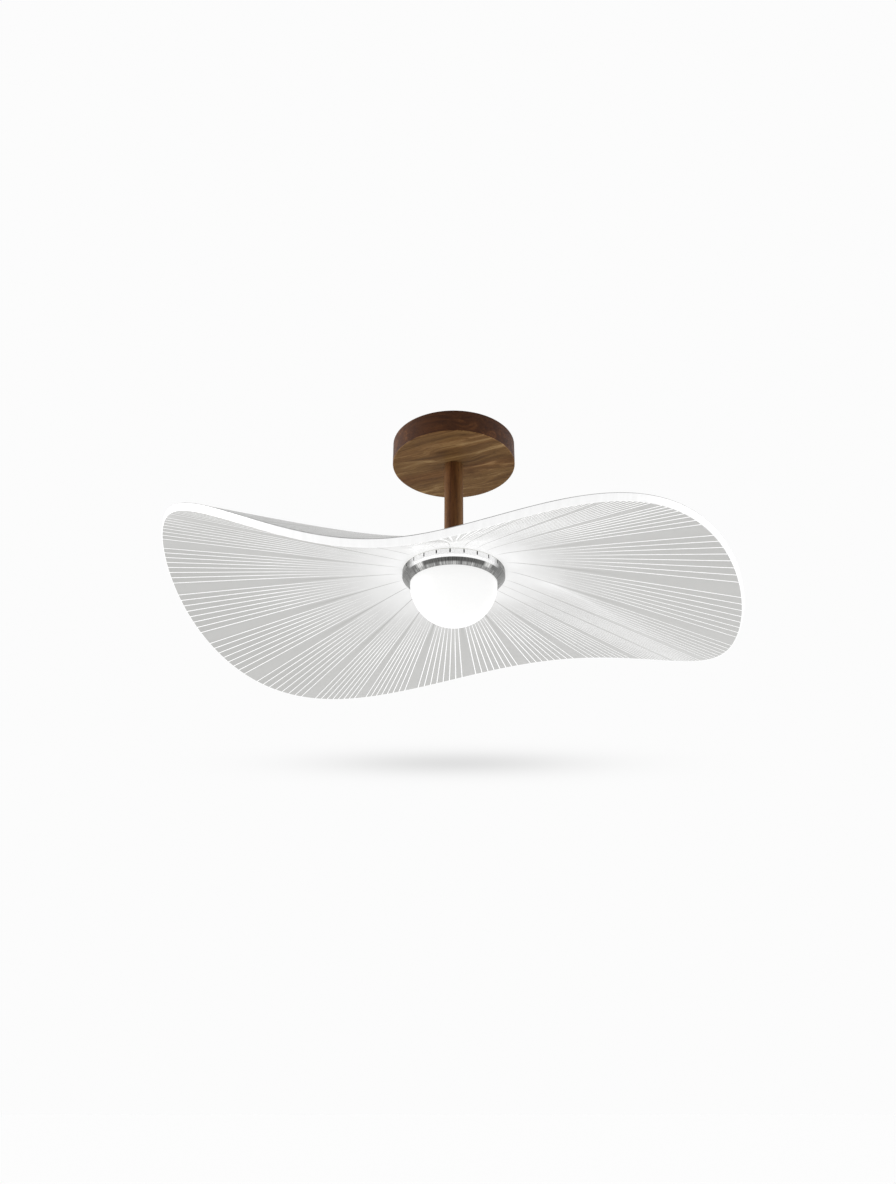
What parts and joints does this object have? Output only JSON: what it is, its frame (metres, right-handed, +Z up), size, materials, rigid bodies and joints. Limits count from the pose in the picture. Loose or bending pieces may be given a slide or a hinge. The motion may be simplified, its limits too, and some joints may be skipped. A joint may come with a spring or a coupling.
{
  "type": "semi-flush ceiling light",
  "caption": "Ceiling light: a round wooden canopy and stem carry a wavy, edge-lit clear disc with radial light lines round a metal hub with a twist-on opal dome.",
  "frame": {"origin": "the middle of the bracket's two ceiling slots, on the ceiling's surface", "axes": "+Z up into the ceiling, -Z down along the stem to the dome; -Y towards the viewer; +X to the viewer's right"},
  "size_m": [0.5414, 0.5336, 0.2532],
  "materials": {
    "walnut": "satin",
    "brushed_metal": "brushed",
    "zinc_steel": "satin",
    "screw_steel": "bright",
    "black_steel": "matt",
    "tube_steel": "satin",
    "brass": "satin",
    "aluminium": "satin",
    "acrylic": "polished",
    "opal": "satin",
    "silicone": "matt",
    "white_nylon": "matt",
    "board_white": "matt",
    "led_phosphor": "satin",
    "wire_jacket": "matt"
  },
  "bodies": {
    "fixture": {"ceiling_bracket": "zinc_steel", "earth_screw": "brass", "canopy": "walnut", "canopy_screws": "black_steel", "terminal_block": "white_nylon", "terminal_clamps": "brass", "led_driver": "white_nylon", "floor_screws": "screw_steel", "line_wires": "wire_jacket", "supply_lead": "wire_jacket", "threaded_tube": "tube_steel", "tube_nuts": "brass", "tube_washers": "zinc_steel", "stem": "walnut", "upper_cup": "brushed_metal", "upper_gasket": "silicone", "shade": "acrylic", "lower_gasket": "silicone", "led_carrier": "aluminium", "led_strip": "board_white", "strip_leds": "led_phosphor", "trim_ring": "brushed_metal", "trim_screws": "screw_steel", "center_board": "board_white", "board_leds": "led_phosphor", "board_screws": "screw_steel"},
    "diffuser": {"dome_diffuser": "opal"}
  },
  "joints": [
    {"name": "dome_twist", "type": "hinge", "parent": "fixture", "child": "diffuser", "pos_m": [0, 0, -0.1601], "axis": [0, 0, -1], "range_deg": [0, 30]}
  ]
}
